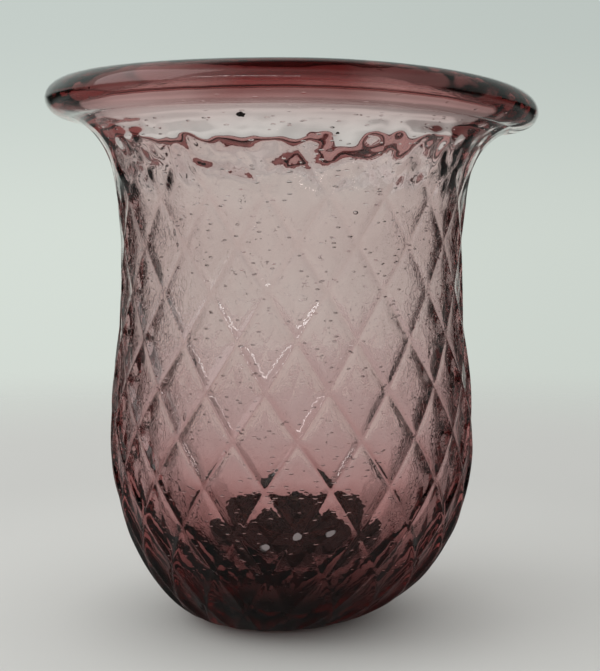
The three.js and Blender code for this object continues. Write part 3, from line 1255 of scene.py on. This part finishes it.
    def seam(self, bm: BMesh, foot: float, top: float) -> None:
        """Adds the lap seam, a strip of tin that is bent round the tube.

        Args:
            bm: The tube.
            foot: Where the seam starts.
            top: Where it ends.
        """
        verts = bmesh.ops.create_cube(bm, size=1)["verts"]
        bmesh.ops.scale(bm, vec=(self.seam_width, 2 * self.seam_height, top - foot), verts=verts)
        bmesh.ops.translate(bm, vec=(0, -self.tube_radius, (foot + top) / 2), verts=verts)
        edges = list({edge for vertex in verts for edge in vertex.link_edges})
        bmesh.ops.bevel(
            bm, geom=edges, offset=0.05 * MM, segments=2, profile=0.5, affect="EDGES", material=-1
        )

    def wick(self) -> None:
        """Makes the wick, laid up from twisted strands and burnt ragged at its tip."""
        low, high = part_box("wick")
        length, radius = high.z - low.z, high.x
        side = [at(radius, low.z + length * step / 90) for step in range(85)]
        tip = oval(at(0, side[-1].y), at(radius, high.z - side[-1].y), 0, 90, 10)
        bm = turned(joined([at(0, low.z)], side, tip), 54)
        for vertex in bm.verts:
            height = (vertex.co.z - low.z) / length
            turn = math.atan2(vertex.co.y, vertex.co.x) - math.tau * self.twists * height
            notch = 1 - abs(math.sin(turn * self.strands / 2))
            ragged = smooth(0.88, 1, height) * (0.5 + 0.5 * noise.noise(vertex.co / (0.5 * MM)))
            fibre = 0.5 + 0.5 * noise.noise(Vector((turn * 6, height * 4, 0)))
            pull = self.groove * notch**2 + self.fibre_depth * fibre + self.ragged_depth * ragged
            vertex.co.xy *= 1 - min(1, pull / radius)
            vertex.co.z -= self.burnt_off * ragged * smooth(0.9, 1, height)
        finished(bm, "twisted_wick", self.cotton.material(), Body.WICK, Slot.COTTON, "wick")


@dataclass
class Studio:
    """A pale floor and backdrop, daylight, and the camera where the photographer stood.

    Seen through the glass, the room and the floor are pale behind the cup and dark to its sides, which draws
    the dark lines along the ribs. A value whose name ends in x, y or z changes along that axis.
    """

    floor_radius: float = 0.6
    floor_fade: Ramp = (0.16, 0.42, 1, 0)
    floor_colour: Colour = (0.615, 0.62, 0.595)
    # Painted shade on the floor: darker away from the cup, and a painted contact shadow round its foot.
    painted_floor_falloff: Ramp = (0.05, 0.14, 1, 0.88)
    painted_contact_shadow: Ramp = (44 * MM, 24 * MM, 1, 0.9)
    floor_mirrored: float = 0.3
    glass_floor_behind: Band = (0.84, 0.94)
    glass_floor_near: Ramp = (125 * MM, 95 * MM, 0.02, 0.75)
    glass_floor_right_x: Ramp = (20 * MM, 80 * MM, 1, 0.6)
    glass_floor_far: Band = (90 * MM, 130 * MM)
    glass_floor_left_x: Ramp = (60 * MM, -60 * MM, 0, 0.6)
    near_floor: Colour = (0.6, 0.62, 0.585)
    near_floor_z: Band = (-0.3, -0.03)
    horizon: Colour = (0.635, 0.69, 0.64)
    horizon_z: Band = (-0.02, 0.16)
    backdrop: Colour = (0.53, 0.585, 0.555)
    backdrop_x: Ramp = (-0.2, 0.25, 1.045, 0.955)
    high_light_z: Ramp = (0.16, 0.3, 1, 1.25)
    ceiling: Colour = (0.03, 0.028, 0.028)
    ceiling_level: Band = (0.76, 0.95)
    ceiling_tilt: float = 0.12
    glass_behind_y: Ramp = (0.85, 0.94, 0.03, 1)
    glass_up_x: Ramp = (-0.5, 0.6, 0.9, 0.5)
    glass_up_z: Band = (0.0, 0.12)
    glass_below_z: Ramp = (-0.3, -0.05, 0.5, 0)
    glass_ahead_y: Ramp = (-0.7, -0.95, 0, 0.55)
    daylight_x: Ramp = (-0.9, 0.9, 0.93, 0.92)
    window_place: Vector = Vector((-0.55, -0.15, 0.42))
    window_size: Band = (0.6, 0.6)
    window_power: float = 1.5
    strip_place: Vector = Vector((-0.25, -0.75, 0.3))
    strip_size: Band = (0.7, 0.03)
    strip_power: float = 0.5
    camera_place: Vector = Vector((1.4 * MM, -233.2 * MM, 69.0 * MM))
    tilt_down: float = math.radians(4.82)
    lens_mm: float = 71.82
    bounces: int = 32
    glossy_bounces: int = 8

    def build(self) -> None:
        """Sets the whole stage."""
        self.floor()
        self.room()
        self.lamp("window", self.window_place, self.window_size, self.window_power)
        self.lamp("strip", self.strip_place, self.strip_size, self.strip_power)
        self.camera()
        bpy.context.scene.view_settings.view_transform = "Standard"
        cycles = bpy.context.scene.cycles
        cycles.max_bounces = self.bounces
        cycles.transmission_bounces = self.bounces
        cycles.glossy_bounces = self.glossy_bounces

    def floor(self) -> None:
        """A round floor that fades into the backdrop."""
        bm = bmesh.new()
        bmesh.ops.create_circle(bm, cap_ends=True, segments=96, radius=self.floor_radius)
        mesh = bpy.data.meshes.new("floor")
        bm.to_mesh(mesh)
        bm.free()
        desk = Bench("floor_paper")
        away = desk.feed(desk.node("VectorMath", operation="LENGTH"), Vector=desk.place).outputs["Value"]
        # The floor's colour carries painted shade: darker away from the cup, a painted contact shadow at its
        # foot,
        # dark where the glass shows it, except behind and near the cup, and dimmer in reflections.
        plain = desk.math("SUBTRACT", 1, desk.ray("Is Transmission Ray"))
        share = desk.product(
            desk.most(self.floor_in_glass(desk, away), plain),
            desk.ramp(away, *self.painted_floor_falloff),
            desk.ramp(away, *self.painted_contact_shadow),
            desk.ramp(desk.mirrored(), 0, 1, 1, self.floor_mirrored),
        )
        colour = desk.blend(share, (0, 0, 0), self.floor_colour)
        fade = desk.ramp(away, *self.floor_fade)
        mesh.materials.append(
            desk.surface(Base_Color=colour, Roughness=1.0, Specular_IOR_Level=0.0, Alpha=fade)
        )
        floor = bpy.data.objects.new("floor", mesh)
        bpy.context.scene.collection.objects.link(floor)

    def floor_in_glass(self, desk: Bench, away: NodeSocket) -> NodeSocket:
        """How pale the floor looks through the glass.

        Args:
            desk: The floor's bench.
            away: How far each place is from the cup's axis.

        Returns:
            The share, highest behind the cup and near it, and higher to the left than to the right.
        """
        x, y, _ = desk.axes()
        behind = desk.ramp(desk.math("DIVIDE", y, away), *self.glass_floor_behind)
        near = desk.product(desk.ramp(away, *self.glass_floor_near), desk.ramp(x, *self.glass_floor_right_x))
        far = desk.product(desk.ramp(away, *self.glass_floor_far), desk.ramp(x, *self.glass_floor_left_x))
        return desk.most(behind, near, far)

    def room(self) -> None:
        """The backdrop that the camera sees, the room that the glass shows, and daylight on all else."""
        world = bpy.data.worlds.new("room")
        bpy.context.scene.world = world
        desk = NodeBench(world, "OutputWorld", "Generated")
        x, _, z = desk.axes()
        far = desk.blend(desk.ramp(z, *self.near_floor_z), self.near_floor, self.horizon)
        seen = desk.blend(desk.ramp(z, *self.horizon_z), far, self.backdrop)
        seen = desk.dimmed(seen, desk.ramp(x, *self.backdrop_x))
        lit = desk.dimmed(seen, desk.ramp(z, *self.high_light_z))
        level = desk.math("ADD", z, desk.product(x, self.ceiling_tilt))
        above = desk.blend(desk.ramp(level, *self.ceiling_level), lit, self.ceiling)
        bent = desk.dimmed(above, self.room_in_glass(desk))
        plain = desk.blend(desk.ramp(x, *self.daylight_x), (0, 0, 0), (1, 1, 1))
        around = desk.blend(desk.ray("Is Glossy Ray"), plain, bent)
        colour = desk.blend(desk.ray("Is Camera Ray"), around, seen)
        background = desk.feed(desk.node("Background"), Color=colour)
        desk.tree.links.new(background.outputs[0], desk.output.inputs["Surface"])

    def room_in_glass(self, desk: NodeBench) -> NodeSocket:
        """How pale the room looks in the glass.

        Args:
            desk: The world's bench.

        Returns:
            The share, high behind the cup and above it, and lower under it and in front of it.
        """
        x, y, z = desk.axes()
        behind = desk.ramp(y, *self.glass_behind_y)
        upwards = desk.product(desk.ramp(x, *self.glass_up_x), desk.ramp(z, *self.glass_up_z))
        below = desk.ramp(z, *self.glass_below_z)
        ahead = desk.product(desk.ramp(y, *self.glass_ahead_y), desk.ray("Is Transmission Ray"))
        return desk.most(behind, upwards, below, ahead)

    def lamp(self, name: str, place: Vector, size: Band, power: float) -> None:
        """An area lamp that faces the cup: the window on the left, or the strip behind the photographer.

        Args:
            name: Its name.
            place: Where it stands.
            size: Its width and height.
            power: Its power in watts.
        """
        data = bpy.data.lights.new(name, "AREA")
        data.shape = "RECTANGLE"
        data.size, data.size_y = size
        data.energy = power
        lamp = bpy.data.objects.new(name, data)
        lamp.location = place
        lamp.rotation_euler = place.to_track_quat("Z", "Y").to_euler()
        lamp.visible_transmission = False
        bpy.context.scene.collection.objects.link(lamp)

    def camera(self) -> None:
        """The camera, level with the upper half of the cup and tilted a little down."""
        data = bpy.data.cameras.new("camera")
        data.lens = self.lens_mm
        data.sensor_width = 36
        data.clip_start = 0.01
        camera = bpy.data.objects.new("camera", data)
        camera.location = self.camera_place
        camera.rotation_euler = (math.radians(90) - self.tilt_down, 0, 0)
        bpy.context.scene.collection.objects.link(camera)
        bpy.context.scene.camera = camera


def main() -> None:
    """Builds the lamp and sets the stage."""
    logging.basicConfig(level=logging.INFO, format="%(name)s: %(message)s")
    Studio().build()
    GlassCup().build()
    FloatLight().build()


if __name__ == "__main__":
    main()
